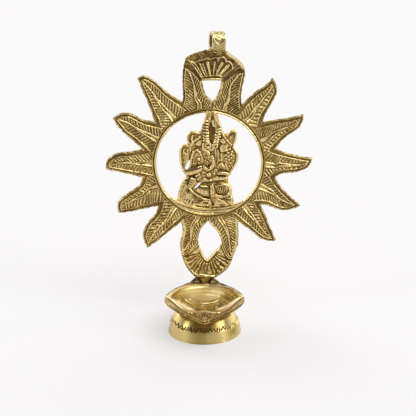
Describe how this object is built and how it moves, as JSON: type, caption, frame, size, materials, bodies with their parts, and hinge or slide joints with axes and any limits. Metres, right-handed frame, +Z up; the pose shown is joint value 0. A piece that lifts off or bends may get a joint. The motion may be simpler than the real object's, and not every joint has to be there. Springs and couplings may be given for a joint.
{
  "type": "aarti lamp",
  "caption": "Brass worship lamp: leaf-shaped oil bowl on a turned bell stand, with an upright sun frame that holds a seated elephant-headed figure under a hanging loop.",
  "frame": {"origin": "centre of the round stand, on the floor it rests on", "axes": "+Z up, -Y towards the bowl's pointed tip and the viewer, +X to the right of someone who faces the figure"},
  "size_m": [0.1677, 0.0912, 0.2399],
  "materials": {
    "turned_brass": "turned and polished brass with fine turning lines",
    "polished_brass": "turned and polished brass, dark in the engraved lines",
    "ring_brass": "cast brass, buffed on the raised edges",
    "cast_brass": "sand-cast brass, buffed high spots and dark patina in the recesses",
    "aged_brass": "sand-cast and chiselled brass with brown patina in the cuts",
    "fastener_brass": "plain machined brass",
    "solder": "rough dull grey-green solder"
  },
  "bodies": {
    "root": {"stand_base": "turned_brass", "base_washer": "fastener_brass", "base_nut": "fastener_brass", "lamp_bowl": "polished_brass", "solder_mounds": "solder", "sun_ring": "ring_brass", "leaf_ray_01": "aged_brass", "leaf_ray_02": "aged_brass", "leaf_ray_03": "aged_brass", "leaf_ray_04": "aged_brass", "leaf_ray_05": "aged_brass", "leaf_ray_06": "aged_brass", "leaf_ray_07": "aged_brass", "leaf_ray_08": "aged_brass", "leaf_ray_09": "aged_brass", "leaf_ray_10": "aged_brass", "crest_leaf_left": "aged_brass", "crest_leaf_right": "aged_brass", "crest_fan": "aged_brass", "foot_leaf_left": "aged_brass", "foot_leaf_right": "aged_brass", "foot_fan": "aged_brass", "hanging_loop": "cast_brass", "figure_seat": "cast_brass", "seated_figure": "cast_brass"}
  },
  "joints": []
}
